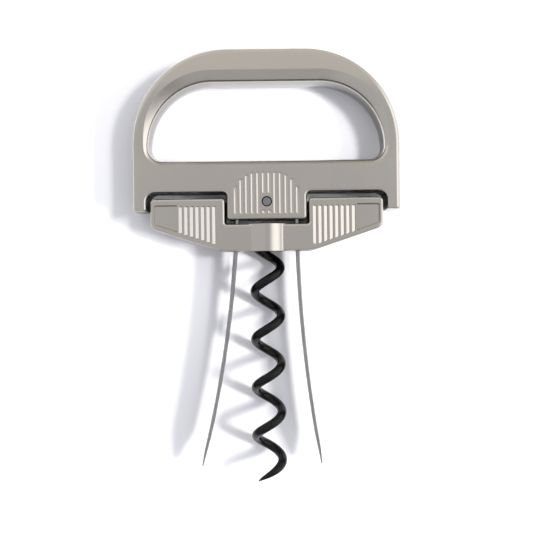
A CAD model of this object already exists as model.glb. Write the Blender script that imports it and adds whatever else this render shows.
# %% [markdown]
# # A prong corkscrew, closed and lying on its back
#
# The tool is two castings with a satin nickel finish, two thin spring prongs, a steel pin and a worm
# with a glossy black coating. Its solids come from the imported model, in metres, with +Z out of
# the front face. This lesson dresses them, lights them softly and looks straight down at them.

# %% Load the solids
import math

import bpy
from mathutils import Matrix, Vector


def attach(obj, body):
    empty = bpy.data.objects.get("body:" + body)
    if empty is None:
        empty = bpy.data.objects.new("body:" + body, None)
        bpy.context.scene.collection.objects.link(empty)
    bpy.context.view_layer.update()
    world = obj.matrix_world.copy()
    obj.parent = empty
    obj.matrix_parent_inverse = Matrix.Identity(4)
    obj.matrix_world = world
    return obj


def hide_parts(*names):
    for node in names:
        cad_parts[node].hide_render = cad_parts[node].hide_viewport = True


MM = 0.001
MIDDLE_HEIGHT = 7.8
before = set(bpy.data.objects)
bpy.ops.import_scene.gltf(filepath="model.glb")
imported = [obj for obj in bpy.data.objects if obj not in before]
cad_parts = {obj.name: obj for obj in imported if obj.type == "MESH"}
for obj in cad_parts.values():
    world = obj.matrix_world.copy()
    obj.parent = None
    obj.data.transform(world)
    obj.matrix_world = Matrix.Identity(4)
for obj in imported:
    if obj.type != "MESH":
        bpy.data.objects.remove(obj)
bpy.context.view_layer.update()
bpy.ops.object.select_all(action="DESELECT")
print("solids:", ", ".join(sorted(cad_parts)))


# %% [markdown]
# ## Shader maths as plain sums
#
# Each finish below is a sum of noises and masks. A shader graph can do that with many Math nodes,
# which are slow to place by hand. A small class that wraps one socket lets Python's own operators
# place them, so a finish reads like the sum it is.

# %% A finish and its sockets
class Socket:
    """One output socket of a finish. Sums, products and powers of it add Math nodes."""

    def __init__(self, finish, output):
        self.finish = finish
        self.output = output

    def maths(self, operation, *values):
        return self.finish.node("ShaderNodeMath", {"operation": operation}, *values)

    def __add__(self, other):
        return self.maths("ADD", self, other)

    def __radd__(self, other):
        return self.maths("ADD", other, self)

    def __sub__(self, other):
        return self.maths("SUBTRACT", self, other)

    def __rsub__(self, other):
        return self.maths("SUBTRACT", other, self)

    def __mul__(self, other):
        return self.maths("MULTIPLY", self, other)

    def __rmul__(self, other):
        return self.maths("MULTIPLY", other, self)

    def __pow__(self, other):
        return self.maths("POWER", self, other)

    def __abs__(self):
        return self.maths("ABSOLUTE", self)

    def either(self, other):
        """The larger of two masks."""
        return self.maths("MAXIMUM", self, other)


class Nodes:
    """A node tree, and one method that adds any node to it."""

    def __init__(self, owner):
        owner.use_nodes = True
        self.tree = owner.node_tree

    def node(self, kind, settings, *values, output=0, **named):
        """Adds a node: its settings first, then the values or links of its sockets."""
        made = self.tree.nodes.new(kind)
        for setting, value in settings.items():
            setattr(made, setting, value)
        sockets = list(zip(made.inputs, values))
        sockets += [(made.inputs[name.replace("_", " ")], value) for name, value in named.items()]
        for socket, value in sockets:
            self.feed(socket, value)
        return Socket(self, made.outputs[output])

    def feed(self, socket, value):
        if isinstance(value, Socket):
            self.tree.links.new(value.output, socket)
        elif value is not None:
            socket.default_value = value

    def mix(self, share, first, second):
        """A colour between two others."""
        made = self.tree.nodes.new("ShaderNodeMix")
        made.data_type = "RGBA"
        self.feed(made.inputs["Factor"], share)
        colours = [socket for socket in made.inputs if socket.type == "RGBA"]
        self.feed(colours[0], first)
        self.feed(colours[1], second)
        return Socket(self, next(socket for socket in made.outputs if socket.type == "RGBA"))

    def ease(self, value, low, high):
        """0 below low, 1 above high and a smooth rise between. High may be the smaller one."""
        return self.node("ShaderNodeMapRange", {"interpolation_type": "SMOOTHSTEP"},
                         value, low, high, 0.0, 1.0)


class Finish(Nodes):
    """A material made from nodes, with a Principled surface."""

    def __init__(self, name):
        self.material = bpy.data.materials.new(name)
        super().__init__(self.material)
        self.surface = next(n for n in self.tree.nodes if n.type == "BSDF_PRINCIPLED")

    def set(self, **values):
        """Values or links of the surface's own sockets."""
        for name, value in values.items():
            self.feed(self.surface.inputs[name.replace("_", " ")], value)

    def position(self):
        return self.node("ShaderNodeTexCoord", {}, output="Object")

    def axes(self):
        """The three coordinates in millimetres, from the middle of the tool."""
        place = self.node("ShaderNodeVectorMath", {"operation": "SUBTRACT"}, self.position(),
                          (0, 0, MIDDLE_HEIGHT * MM))
        grown = self.node("ShaderNodeVectorMath", {"operation": "SCALE"}, place, Scale=1 / MM)
        return [self.node("ShaderNodeSeparateXYZ", {}, grown, output=axis) for axis in range(3)]

    def facing(self):
        """How far the surface faces along each axis, from -1 to 1."""
        way = self.node("ShaderNodeNewGeometry", {}, output="Normal")
        return [self.node("ShaderNodeSeparateXYZ", {}, way, output=axis) for axis in range(3)]

    def noise(self, scale, detail=2.0, stretch=(1, 1, 1)):
        """Noise from 0 to 1, with its grains per metre, drawn out along an axis by a stretch below 1."""
        place = self.node("ShaderNodeMapping", {}, self.position(), Scale=stretch)
        return self.node("ShaderNodeTexNoise", {}, Vector=place, Scale=scale, Detail=detail)

    def bump(self, height, distance, strength=1.0):
        return self.node("ShaderNodeBump", {}, Height=height, Distance=distance, Strength=strength)


def dress(thing, finish):
    """Gives a thing one finish all over."""
    thing.data.materials.clear()
    thing.data.materials.append(finish.material)


# %% [markdown]
# ## Satin nickel on cast zinc
#
# The castings are plated and then blasted fine, so they shine softly, with no brushed lines. A warm
# grey metal with medium roughness does that. Real plating isn't even: a large, faint noise moves the
# colour and a finer one the roughness. It also hardly reaches into narrow places. Walls well below the
# faces are duller, and those of the notch, the seat and the pin's sink are nearly black. The outer
# side walls come from the mould with a dark, dull skin, which draws the thin outline of the tool.
# Masks on the object's own coordinates and normals find these walls, so the finish stays put.

# %% Satin nickel
FACE = 6.2
ROOF_Y = 23.15
NOTCH_HALF = 37.2
PIN_Y = 20.15
PIN_SINK_RADIUS = 1.6
SEAT_Y = 13.25
STEP_HALF = 12.95
WING_TOP_Y = 21.2


def notch_walls(finish, x, y, z):
    """The walls of the handle's notch and tongue, and of the sink round the pin."""
    walls = (finish.ease(abs(z), FACE - 0.9, FACE - 2.6) * finish.ease(y, ROOF_Y + 0.5, ROOF_Y)
             * finish.ease(abs(x), NOTCH_HALF + 0.5, NOTCH_HALF + 0.1))
    radius = (x ** 2 + (y - PIN_Y) ** 2) ** 0.5
    sink = (finish.ease(radius, PIN_SINK_RADIUS + 0.15, PIN_SINK_RADIUS + 0.03)
            * finish.ease(abs(z), FACE - 0.05, FACE - 0.2))
    return walls.either(sink)


def seat_walls(finish, x, y, z):
    """The walls of the key that face the handle's notch and tongue."""
    seat = (finish.ease(abs(x), STEP_HALF + 0.7, STEP_HALF + 0.3)
            * finish.ease(y, SEAT_Y - 0.7, SEAT_Y - 0.3))
    tops = finish.ease(y, WING_TOP_Y - 0.7, WING_TOP_Y - 0.3)
    return finish.ease(abs(z), FACE - 0.6, FACE - 0.9) * seat.either(tops)


def satin_nickel(name, narrow_walls, narrow_colour, middle_y):
    finish = Finish(name)
    x, y, z = finish.axes()
    side, along, front = finish.facing()
    outwards = finish.ease(x * side + (y - middle_y) * along, 0.0, 6.0)
    skin = 0.8 * outwards * finish.ease(abs(front), 0.62, 0.25)
    cloud = finish.noise(60, 3)
    grain = finish.noise(3000, 2)
    speck = finish.noise(400, 2)
    low = finish.ease(abs(z), FACE - 1.0, FACE - 2.0)
    narrow = narrow_walls(finish, x, y, z)
    plated = finish.mix(cloud, (0.60, 0.562, 0.503, 1), (0.635, 0.595, 0.533, 1))
    duller = finish.mix(low, plated, (0.24, 0.235, 0.225, 1))
    skinned = finish.mix(skin, duller, (0.17, 0.155, 0.135, 1))
    finish.set(Base_Color=finish.mix(narrow, skinned, narrow_colour), Metallic=1.0, IOR=1.6,
               Roughness=0.17 + 0.05 * speck + 0.25 * narrow,
               Normal=finish.bump(grain, 0.01 * MM, 0.15))
    return finish


# %% [markdown]
# ## Spring steel, dull steel and a glossy black coat
#
# The prongs are rolled along their length, so their grain is drawn out along Y. Their broad faces
# keep a dark skin from hardening, and their narrow edges are ground bright. The pin is plain dull
# steel. The worm has a black low-friction coat that is glossy but not quite even.

# %% Spring steel, pin steel and coating
def spring_steel():
    finish = Finish("spring_steel")
    side = finish.facing()[0]
    lines = finish.noise(3000, 2, stretch=(1, 0.02, 1))
    ground = finish.mix(lines, (0.34, 0.335, 0.33, 1), (0.50, 0.495, 0.49, 1))
    skin = finish.ease(abs(side), 0.55, 0.90)
    finish.set(Base_Color=finish.mix(skin, ground, (0.13, 0.112, 0.095, 1)),
               Metallic=1.0, Roughness=0.22 + 0.12 * lines,
               Normal=finish.bump(lines, 0.01 * MM, 0.4))
    return finish


def pin_steel():
    finish = Finish("pin_steel")
    scuffs = finish.noise(1500, 4)
    finish.set(Base_Color=finish.mix(scuffs, (0.20, 0.205, 0.21, 1), (0.36, 0.365, 0.37, 1)),
               Metallic=1.0, Roughness=0.35 + 0.2 * scuffs,
               Normal=finish.bump(scuffs, 0.05 * MM, 0.6))
    return finish


def black_coating():
    finish = Finish("black_coating")
    ripple = finish.noise(700, 2)
    finish.set(Base_Color=(0.002, 0.002, 0.0022, 1), Metallic=0.0, Roughness=0.20 + 0.08 * ripple,
               IOR=1.36, Normal=finish.bump(ripple, 0.01 * MM, 0.3))
    return finish


HANDLE_MIDDLE_Y = 45.0
KEY_MIDDLE_Y = 18.0
HANDLE_NICKEL = satin_nickel("handle_nickel", notch_walls, (0.014, 0.0135, 0.013, 1), HANDLE_MIDDLE_Y)
KEY_NICKEL = satin_nickel("key_nickel", seat_walls, (0.022, 0.021, 0.02, 1), KEY_MIDDLE_Y)
SPRING = spring_steel()
PIN = pin_steel()
COATING = black_coating()


# %% [markdown]
# ## The castings and steel parts
#
# The solids already have the outlines and roundings that the tool needs. Their meshes are loose
# triangles, though, which always look faceted. A merged copy of each, with smooth shading below a set
# angle, keeps the shape and turns the roundings soft. Smooth shading alone would bend the light on a
# flat face beside a rounding. Normals weighted by area keep it flat.

# %% Smooth copies of the solids
CASTING_SMOOTH = 36
STEEL_SMOOTH = 30
WORM_SMOOTH = 40


def take_up(piece):
    """Selects one piece alone and makes it active."""
    bpy.ops.object.select_all(action="DESELECT")
    piece.select_set(True)
    bpy.context.view_layer.objects.active = piece


def merged_copy(node, name):
    """A copy of a solid with its triangles joined, and flat faces made whole."""
    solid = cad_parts[node]
    copy = solid.copy()
    copy.data = solid.data.copy()
    copy.name = name
    for key in list(copy.keys()):
        del copy[key]
    copy.parent = None
    bpy.context.scene.collection.objects.link(copy)
    take_up(copy)
    bpy.ops.object.mode_set(mode="EDIT")
    bpy.ops.mesh.select_all(action="SELECT")
    bpy.ops.mesh.customdata_custom_splitnormals_clear()
    bpy.ops.mesh.remove_doubles(threshold=0.0005 * MM)
    bpy.ops.mesh.dissolve_limited(angle_limit=math.radians(0.1))
    bpy.ops.object.mode_set(mode="OBJECT")
    print(name, len(copy.data.polygons), "faces")
    return copy


def polish(piece, angle):
    """Smooth shading below an angle, with normals that follow the larger faces."""
    take_up(piece)
    bpy.ops.object.shade_smooth_by_angle(angle=math.radians(angle))
    bpy.ops.object.modifier_add(type="WEIGHTED_NORMAL")
    weighting = piece.modifiers[-1]
    weighting.keep_sharp = True
    weighting.weight = 100
    bpy.ops.object.modifier_apply(modifier=weighting.name)
    bpy.ops.object.select_all(action="DESELECT")


def stand_in(piece, node, body, finish):
    """Gives a piece its finish and lets it stand for a solid, on that solid's body."""
    dress(piece, finish)
    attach(piece, body)
    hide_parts(node)


# %% [markdown]
# ## Room for the flutes
#
# On the real castings the grip pads are flutes: narrow hollows, cut side by side into the face. The
# solids carry raised ribs at the same spacing instead. The flutes could be cut straight into the
# large castings, but a cut through that many faces is slow and leaves slivers. The ribs are pressed
# below the floor of their pad instead, and a small fluted plate, flush with the face, closes the pad.

# %% Pressing the ribs down
PAD_SINK = 0.5
PRESS = 0.9
HAIR = 0.02


def choose(piece, kind, wanted):
    """Enters edit mode with the corners or edges selected that pass a test on their place in mm."""
    take_up(piece)
    bpy.ops.object.mode_set(mode="EDIT")
    bpy.ops.mesh.select_mode(type=kind)
    bpy.ops.mesh.select_all(action="DESELECT")
    bpy.ops.object.mode_set(mode="OBJECT")
    places = [vertex.co / MM for vertex in piece.data.vertices]
    if kind == "VERT":
        for vertex, place in zip(piece.data.vertices, places):
            vertex.select = wanted(place)
    else:
        for edge in piece.data.edges:
            edge.select = wanted(*[places[end] for end in edge.vertices])
    bpy.ops.object.mode_set(mode="EDIT")


def press_ribs(piece, inside):
    """Moves the crests of the ribs in a region below the floor of their pad, on both faces."""
    high = MIDDLE_HEIGHT + FACE - PAD_SINK + HAIR
    low = 2 * MIDDLE_HEIGHT - high
    choose(piece, "VERT", lambda place: inside(place) and not low < place.z < high)
    bpy.ops.transform.resize(value=(1, 1, PRESS), center_override=(0, 0, MIDDLE_HEIGHT * MM))
    bpy.ops.object.mode_set(mode="OBJECT")
    print(piece.name, sum(vertex.select for vertex in piece.data.vertices), "corners pressed down")


# %% [markdown]
# ## Fluted plates
#
# One cutter, a capsule cut off just above the face, makes every flute of a pad. It starts as a sphere
# with an odd number of rings, so that pulling its halves apart leaves a true cylinder between them.
# Each copy is stretched to the length of its flute, and one boolean takes them all out of the plate.

# %% Plates with flutes
FLUTE_PITCH = 1.736
PLATE_RISE = 0.004
PLATE_LOW = FACE - PAD_SINK - 0.05
CUT_RISE = 0.05


def plate(name, left, right, foot, head):
    """A flat block between two heights, flush with the face."""
    top = FACE + PLATE_RISE
    height = MIDDLE_HEIGHT + (PLATE_LOW + top) / 2
    middle = ((left + right) / 2 * MM, (foot + head) / 2 * MM, height * MM)
    bpy.ops.object.select_all(action="DESELECT")
    bpy.ops.mesh.primitive_cube_add(size=1, location=middle,
                                    scale=((right - left) * MM, (head - foot) * MM, (top - PLATE_LOW) * MM))
    block = bpy.context.object
    block.name = name
    bpy.ops.object.transform_apply(location=True, rotation=True, scale=True)
    return block


def flute_cutter(radius, depth):
    """A capsule along Y that reaches a depth below the face, with its two halves still together."""
    height = (MIDDLE_HEIGHT + FACE + radius - depth) * MM
    bpy.ops.object.select_all(action="DESELECT")
    bpy.ops.mesh.primitive_uv_sphere_add(segments=40, ring_count=15, radius=radius * MM,
                                         location=(0, 0, height), rotation=(math.pi / 2, 0, 0))
    cutter = bpy.context.object
    bpy.ops.object.transform_apply(location=True, rotation=True, scale=True)
    bpy.ops.object.mode_set(mode="EDIT")
    bpy.ops.mesh.select_all(action="SELECT")
    bpy.ops.mesh.bisect(plane_co=(0, 0, (MIDDLE_HEIGHT + FACE + CUT_RISE) * MM), plane_no=(0, 0, 1),
                        use_fill=True, clear_outer=True, threshold=0.0001 * MM)
    bpy.ops.object.mode_set(mode="OBJECT")
    return cutter


def shift(piece, wanted, x, y):
    """Moves the corners that pass a test, by millimetres in X and Y."""
    choose(piece, "VERT", wanted)
    bpy.ops.transform.translate(value=(x * MM, y * MM, 0))
    bpy.ops.object.mode_set(mode="OBJECT")


def cut(block, tools):
    """Takes several tools out of a block and removes them."""
    bpy.ops.object.select_all(action="DESELECT")
    for tool in tools:
        tool.select_set(True)
    bpy.context.view_layer.objects.active = tools[0]
    bpy.ops.object.join()
    take_up(block)
    bpy.ops.object.modifier_add(type="BOOLEAN")
    carving = block.modifiers[-1]
    carving.operation = "DIFFERENCE"
    carving.object = tools[0]
    bpy.ops.object.modifier_apply(modifier=carving.name)
    take_up(tools[0])
    bpy.ops.object.delete()
    print(block.name, len(block.data.polygons), "faces")


def cut_flutes(block, flutes, radius, depth, extra=()):
    """Cuts flutes, each given by its middle and its two ends, into a block."""
    half_width = math.sqrt(radius ** 2 - (radius - depth) ** 2)
    master = flute_cutter(radius, depth)
    tools = []
    for middle, low, high in flutes:
        tool = master.copy()
        tool.data = master.data.copy()
        bpy.context.scene.collection.objects.link(tool)
        shift(tool, lambda place: place.y > 0, middle, high - half_width)
        shift(tool, lambda place: place.y < high - half_width - radius, middle, low + half_width)
        tools.append(tool)
    take_up(master)
    bpy.ops.object.delete()
    cut(block, tools + list(extra))


def on_the_back(block, name):
    """A copy of a front plate, turned half round the tool's axis on to the other face."""
    twin = block.copy()
    twin.data = block.data.copy()
    twin.name = name
    bpy.context.scene.collection.objects.link(twin)
    twin.location = (0, 0, 2 * MIDDLE_HEIGHT * MM)
    twin.rotation_euler = (0, math.pi, 0)
    take_up(twin)
    bpy.ops.object.transform_apply(location=True, rotation=True, scale=True)
    return twin


FLUTE_SMOOTH = 12


def finish_plate(block, body, finish):
    """Smooths the round parts alone, since the flattest floors meet the face at a small angle."""
    polish(block, FLUTE_SMOOTH)
    dress(block, finish)
    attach(block, body)


# %% [markdown]
# ## The handle and its dome
#
# The handle is one casting. The tongue in its middle has a grip pad with a domed top and twelve round
# flutes, the outer ones shorter. The pad's outline could be traced by hand, but a plate with two corners
# bevelled is that dome already. The pin breaks the two middle flutes, so each is cut as a short piece
# below it and a long one above.

# %% The handle and its dome
DOME_HALF = 10.45
DOME_FOOT_Y = 16.05
DOME_HEAD_Y = 29.55
DOME_CORNER = 7.0
DOME_EDGE = 0.08
FLUTE_HEADS = [24.8, 27.1, 28.4, 29.1, 29.25, 29.3]
FLUTE_FOOT = 16.15
STUB_HEAD = 17.65
OVER_PIN = 22.45
DOME_RADIUS = 0.86
DOME_DEPTH = 0.30
MIDDLE_FLUTES = (5, 6)
RIB_MARGIN = 0.3
CORNER_MARGIN = 0.25
UPPER_Y = 25
UPRIGHT = 0.1


def in_dome(place):
    """Whether a corner lies in the pad of the tongue, clear of its outline."""
    beside = max(abs(place.x) - DOME_HALF + DOME_CORNER, 0)
    above = max(place.y - DOME_HEAD_Y + DOME_CORNER, 0)
    return (abs(place.x) < DOME_HALF - RIB_MARGIN
            and DOME_FOOT_Y + RIB_MARGIN < place.y < DOME_HEAD_Y - RIB_MARGIN
            and math.hypot(beside, above) < DOME_CORNER - CORNER_MARGIN)


casting = merged_copy("handle_frame", "handle_casting")
press_ribs(casting, in_dome)
polish(casting, CASTING_SMOOTH)
stand_in(casting, "handle_frame", "handle", HANDLE_NICKEL)

dome = plate("dome_flutes", -DOME_HALF - DOME_EDGE, DOME_HALF + DOME_EDGE,
             DOME_FOOT_Y - DOME_EDGE, DOME_HEAD_Y + DOME_EDGE)
choose(dome, "EDGE", lambda one, other: one.y > UPPER_Y and other.y > UPPER_Y
       and abs(one.z - other.z) > UPRIGHT and abs(one.x - other.x) < UPRIGHT)
bpy.ops.mesh.bevel(offset=DOME_CORNER * MM, segments=14, affect="EDGES")
bpy.ops.object.mode_set(mode="OBJECT")

dome_flutes = []
for number, head in enumerate(FLUTE_HEADS + FLUTE_HEADS[::-1]):
    middle = (number - len(FLUTE_HEADS) + 0.5) * FLUTE_PITCH
    if number in MIDDLE_FLUTES:
        dome_flutes += [(middle, FLUTE_FOOT, STUB_HEAD), (middle, OVER_PIN, head)]
    else:
        dome_flutes.append((middle, FLUTE_FOOT, head))
bpy.ops.object.select_all(action="DESELECT")
bpy.ops.mesh.primitive_cylinder_add(vertices=48, radius=PIN_SINK_RADIUS * MM, depth=4 * MM,
                                    location=(0, PIN_Y * MM, (MIDDLE_HEIGHT + FACE) * MM))
pin_hole = bpy.context.object
bpy.ops.object.transform_apply(location=True, rotation=True, scale=True)
cut_flutes(dome, dome_flutes, DOME_RADIUS, DOME_DEPTH, [pin_hole])
dome_back = on_the_back(dome, "dome_flutes_back")
for block in (dome, dome_back):
    finish_plate(block, "handle", HANDLE_NICKEL)


# %% [markdown]
# ## The prongs and their pin
#
# One thin spring strip makes both prongs, and a plain steel pin holds it in the tongue. Both could be
# made again from curves, but the solids already have the prongs' hollow faces and ground points. So
# they only need smooth shading and steel.

# %% The prongs and their pin
prongs = merged_copy("prong_strip", "spring_prongs")
polish(prongs, STEEL_SMOOTH)
stand_in(prongs, "prong_strip", "handle", SPRING)

pin = merged_copy("prong_pin", "tongue_pin")
polish(pin, STEEL_SMOOTH)
stand_in(pin, "prong_pin", "handle", PIN)


# %% [markdown]
# ## Slanted cuts on the wings
#
# The flutes of the wings aren't round. Their floors are flat and slope down to the right, which is why
# they mirror the soft light on the right as broad bright bars. A rounded cutter could be flattened, but
# a turned block has this floor and its steep right wall already. Its lower end is rounded, and its upper
# end leans outwards. The left wing has seven cuts and the right wing eight.

# %% Slanted cutter
CUT_SLOPE = math.radians(15)
CUT_DEPTH = 0.27
CUT_HEIGHT = 1.0
CUT_LENGTH = 1.25
CUT_END = 0.45
HEAD_LEAN = 1.0
CUT_HEAD_Y = 18.85
CUT_FOOT = 1.45
CUT_MIDDLE = 0.4


def slant_cutter(deepest, low, high):
    """A block with its lower right edge at a place in X, between two heights in Y on the face."""
    high -= CUT_DEPTH * HEAD_LEAN
    middle = (-CUT_LENGTH / 2 * MM, (low + high) / 2 * MM, CUT_HEIGHT / 2 * MM)
    bpy.ops.object.select_all(action="DESELECT")
    bpy.ops.mesh.primitive_cube_add(size=1, scale=(CUT_LENGTH * MM, (high - low) * MM, CUT_HEIGHT * MM),
                                    location=middle)
    cutter = bpy.context.object
    bpy.ops.object.transform_apply(location=True, rotation=True, scale=True)
    shift(cutter, lambda place: place.y > high - 0.01 and place.z > CUT_HEIGHT / 2, 0, CUT_HEIGHT * HEAD_LEAN)
    choose(cutter, "EDGE", lambda one, other: max(one.y, other.y) < low + 0.01 and abs(one.z - other.z) > 0.5)
    bpy.ops.mesh.bevel(offset=CUT_END * MM, segments=10, affect="EDGES")
    bpy.ops.object.mode_set(mode="OBJECT")
    cutter.rotation_euler = (0, CUT_SLOPE, 0)
    cutter.location = (deepest * MM, 0, (MIDDLE_HEIGHT + FACE - CUT_DEPTH) * MM)
    take_up(cutter)
    bpy.ops.object.transform_apply(location=True, rotation=True, scale=True)
    return cutter


# %% [markdown]
# ## The key and its flutes
#
# The key is the second casting. Each of its wings has one fluted plate in front and one behind. The
# eight cuts of the right wing reach further in than the solid's pad does. A wider pad could be cut, but
# moving the pad's inner wall before the plate closes it takes one step. The key looks the same from
# behind when it is turned half round, so there the wider pad is on the other side.

# %% The key and its flutes
WING_PITCH = 1.715
WINGS = {"left": (-1, 7, -26.17), "right": (1, 8, 15.16)}
PLATE_START = 14.95
WIDE_START = 13.75
WALL_INSIDE = 0.08
PLATE_END = 27.75
PLATE_FOOT = 1.3
PLATE_HEAD_Y = 19.32
UNDERSIDE_START = 14.25
UNDERSIDE_Y = 4.85
UNDERSIDE_SLOPE = 0.3287
RIB_SIDE_MARGIN = 0.35
RIB_HEAD_MARGIN = 0.25
RIB_FOOT = 1.65
WALL_REACH = 0.3
WALL_FOOT_Y = 6
FLOOR_REACH = 0.05
FOOT_BELOW_Y = 15


def underside(x):
    """The slanted lower edge of a wing."""
    return UNDERSIDE_Y + UNDERSIDE_SLOPE * (abs(x) - UNDERSIDE_START)


def in_wing_ribs(place):
    """Whether a corner lies on the ribs of a wing, clear of the outline of their pad."""
    return (PLATE_START + RIB_SIDE_MARGIN < abs(place.x) < PLATE_END
            and underside(place.x) + RIB_FOOT < place.y < PLATE_HEAD_Y - RIB_HEAD_MARGIN)


def widen_pocket(piece, face):
    """Moves the inner wall of the wider pad, on the front with face 1 or on the back with face -1."""
    def on_wall(place):
        return (abs(face * place.x - PLATE_START) < WALL_REACH
                and WALL_FOOT_Y < place.y < PLATE_HEAD_Y + WALL_REACH
                and face * (place.z - MIDDLE_HEIGHT) > FACE - PAD_SINK - FLOOR_REACH)

    shift(piece, on_wall, face * (WIDE_START + WALL_INSIDE - PLATE_START), 0)
    print(piece.name, sum(vertex.select for vertex in piece.data.vertices), "corners of a pad moved")


key = merged_copy("key_plate", "key_casting")
press_ribs(key, in_wing_ribs)
widen_pocket(key, 1)
widen_pocket(key, -1)
polish(key, CASTING_SMOOTH)
stand_in(key, "key_plate", "key", KEY_NICKEL)

for side_name, (side, number_of_cuts, first_cut) in WINGS.items():
    start = WIDE_START if side > 0 else PLATE_START
    ends = sorted((side * start, side * PLATE_END))
    wing = plate(f"wing_flutes_{side_name}", *ends, underside(start) + PLATE_FOOT, PLATE_HEAD_Y)
    slant = underside(PLATE_END) - underside(start)
    shift(wing, lambda place: side * place.x > PLATE_END - 1 and place.y < FOOT_BELOW_Y, 0, slant)
    places = [first_cut + number * WING_PITCH for number in range(number_of_cuts)]
    cut(wing, [slant_cutter(x, underside(x - CUT_MIDDLE) + CUT_FOOT, CUT_HEAD_Y) for x in places])
    wing_back = on_the_back(wing, f"wing_flutes_back_{side_name}")
    for block in (wing, wing_back):
        finish_plate(block, "key", KEY_NICKEL)


# %% [markdown]
# ## The worm
#
# The worm is a coated wire, wound right-handed and ground to a point. A circle swept along a helix could
# make it again, but the solid already has the helix and the point. Smooth shading hides its segments.

# %% The worm
worm = merged_copy("worm", "coated_worm")
polish(worm, WORM_SMOOTH)
stand_in(worm, "worm", "key", COATING)


# %% [markdown]
# ## The floor
#
# The tool lies on a plain white floor that shows nothing but its shadow. A floor could be lit until
# it turns white, but that would wash out the metal. Here its own colour does the work.

# %% Floor
def paper():
    finish = Finish("white_paper")
    finish.set(Base_Color=(0.90, 0.905, 0.95, 1), Roughness=0.9, Metallic=0.0)
    return finish


bpy.ops.mesh.primitive_plane_add(size=4.0, location=(0, 0, 0))
floor = bpy.context.object
floor.name = "white_floor"
dress(floor, paper())


# %% [markdown]
# ## The studio
#
# Polished metal shows its surroundings, so the room matters more than the lamps. The photograph's room
# can be read off the boss, which mirrors it from left to right: even grey overhead, a broad white glow
# on the right, a bright strip low on the right, and dark towards the foot of the picture. A picture of
# a room could be wrapped round the scene. Sums on the direction of view give the same gradients and
# leave nothing to load.

# %% Room
def way_to(azimuth, elevation):
    """A direction. Azimuth 0 is to the right of the picture and 90 is up the picture."""
    a, e = math.radians(azimuth), math.radians(elevation)
    return Vector((math.cos(a) * math.cos(e), math.sin(a) * math.cos(e), math.sin(e)))


world = bpy.data.worlds.new("studio")
bpy.context.scene.world = world
room = Nodes(world)
gaze = room.node("ShaderNodeTexCoord", {}, output="Generated")
right, up, height = [room.node("ShaderNodeSeparateXYZ", {}, gaze, output=axis) for axis in range(3)]


def glow(azimuth, elevation, inner, outer):
    """1 within an angle of a direction, fading to 0 at a wider angle."""
    nearness = room.node("ShaderNodeVectorMath", {"operation": "DOT_PRODUCT"}, gaze,
                         tuple(way_to(azimuth, elevation)), output="Value")
    return room.ease(nearness, math.cos(math.radians(outer)), math.cos(math.radians(inner)))


def tint(level, colour):
    """A colour times a level."""
    return room.node("ShaderNodeVectorMath", {"operation": "SCALE"}, colour, Scale=level)


OVERHEAD = 0.55
softbox = 1.05 * glow(2, 45, 8, 35)
band = room.ease(height, 0.38, 0.31) * room.ease(height, 0.13, 0.22)
low_strip = 1.10 * band * room.ease(right, 0.45, 0.85)
back_light = 0.22 * room.ease(up, 0.10, 0.30) * room.ease(height, 0.0, 0.2)
left_fill = 0.07 * room.ease(right, -0.05, -0.25)
darkness = 0.92 * room.ease(height, 0.36, 0.16) * room.ease(up, -0.30, -0.70)
dip = 0.5 * room.ease(height, 0.56, 0.47) * room.ease(height, 0.34, 0.42) * room.ease(right, 0.3, 0.6)
level = (OVERHEAD + softbox + low_strip + left_fill) * (1 - darkness) * (1 - dip)
sky = room.node("ShaderNodeVectorMath", {"operation": "ADD"},
                tint(level, (1.0, 1.01, 1.055)), tint(back_light, (1.06, 1.0, 0.80)))
backdrop = next(node for node in room.tree.nodes if node.type == "BACKGROUND")
room.feed(backdrop.inputs["Color"], sky)


# %% [markdown]
# One small bright lamp, low on the right, throws the shadows. It is small enough to keep their edges
# readable and stands a little below the middle of the picture, so they fall to the left and slightly up.
# A broad faint lamp overhead softens them. The room's own glow already stands for both in the metal, so
# they are hidden from reflections.

# %% Lamp
def square_lamp(name, azimuth, elevation, distance, size, strength, colour):
    """A square area lamp that looks at the tool."""
    way = way_to(azimuth, elevation)
    light = bpy.data.lights.new(name, "AREA")
    light.size = size
    light.energy = strength
    light.color = colour
    lamp = bpy.data.objects.new(name, light)
    lamp.location = way * distance
    lamp.rotation_euler = (-way).to_track_quat("-Z", "Y").to_euler()
    lamp.visible_glossy = False
    bpy.context.scene.collection.objects.link(lamp)


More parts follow.
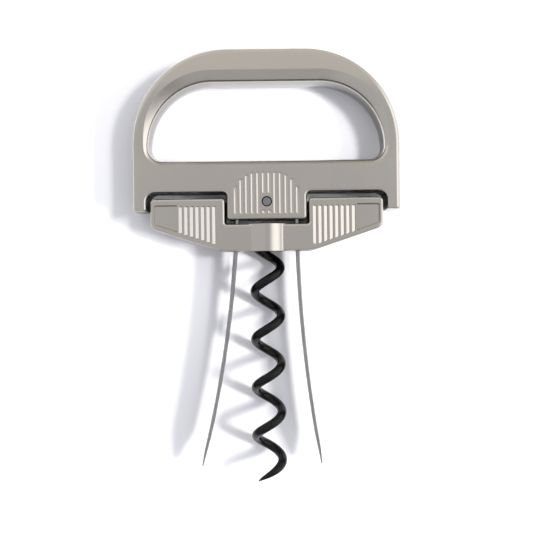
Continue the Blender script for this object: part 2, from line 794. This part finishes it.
square_lamp("shadow_lamp", azimuth=-9, elevation=40, distance=0.9, size=0.15,
            strength=7.8, colour=(1.0, 0.98, 0.95))
square_lamp("overhead_fill", azimuth=90, elevation=88, distance=0.9, size=0.6,
            strength=0.8, colour=(0.98, 0.99, 1.0))

# %% [markdown]
# The shadow of the handle is much shorter than those of the worm and the prongs. A second lamp, higher
# up and aimed at the handle alone with a soft edge, fills the far part of that shadow.

# %% A spot on the handle
SPOT_WAY = way_to(4, 59)
SPOT_DISTANCE = 0.5
SPOT_AIM_Y = 48
spot = bpy.data.lights.new("handle_spot", "SPOT")
spot.energy = 6.8
spot.spot_size = math.radians(19)
spot.spot_blend = 1.0
spot.shadow_soft_size = 0.045
spot.color = (1.0, 0.985, 0.965)
spot_lamp = bpy.data.objects.new("handle_spot", spot)
spot_lamp.location = SPOT_WAY * SPOT_DISTANCE + Vector((0, SPOT_AIM_Y * MM, 0))
spot_lamp.rotation_euler = (-SPOT_WAY).to_track_quat("-Z", "Y").to_euler()
spot_lamp.visible_glossy = False
bpy.context.scene.collection.objects.link(spot_lamp)


# %% [markdown]
# ## The camera
#
# The photograph looks straight down from about 275 mm, so near parts look larger than far ones, and
# the inner walls of the grip show. A camera without perspective would hide them. A perspective camera
# at that distance shows both.

# %% Camera
CAMERA_HEIGHT = 275 * MM
FOCAL_PIXELS = 848
FRAME_PIXELS = 533
SENSOR = 36.0
CAMERA_X = -0.33
CAMERA_Y = 0.05
CAMERA_TURN = -0.66

view = bpy.data.cameras.new("top_view")
view.sensor_width = SENSOR
view.lens = FOCAL_PIXELS / FRAME_PIXELS * SENSOR
view.clip_start = 0.01
view.clip_end = 20
camera = bpy.data.objects.new("top_view", view)
camera.location = (CAMERA_X * MM, CAMERA_Y * MM, CAMERA_HEIGHT)
camera.rotation_euler = (0, 0, math.radians(CAMERA_TURN))
bpy.context.scene.collection.objects.link(camera)
bpy.context.scene.camera = camera
bpy.context.scene.view_settings.view_transform = "Standard"


# %% [markdown]
# ## Check the size
#
# The dressed tool must be as large as its solids. Both boxes are written down to be compared.

print("size written")
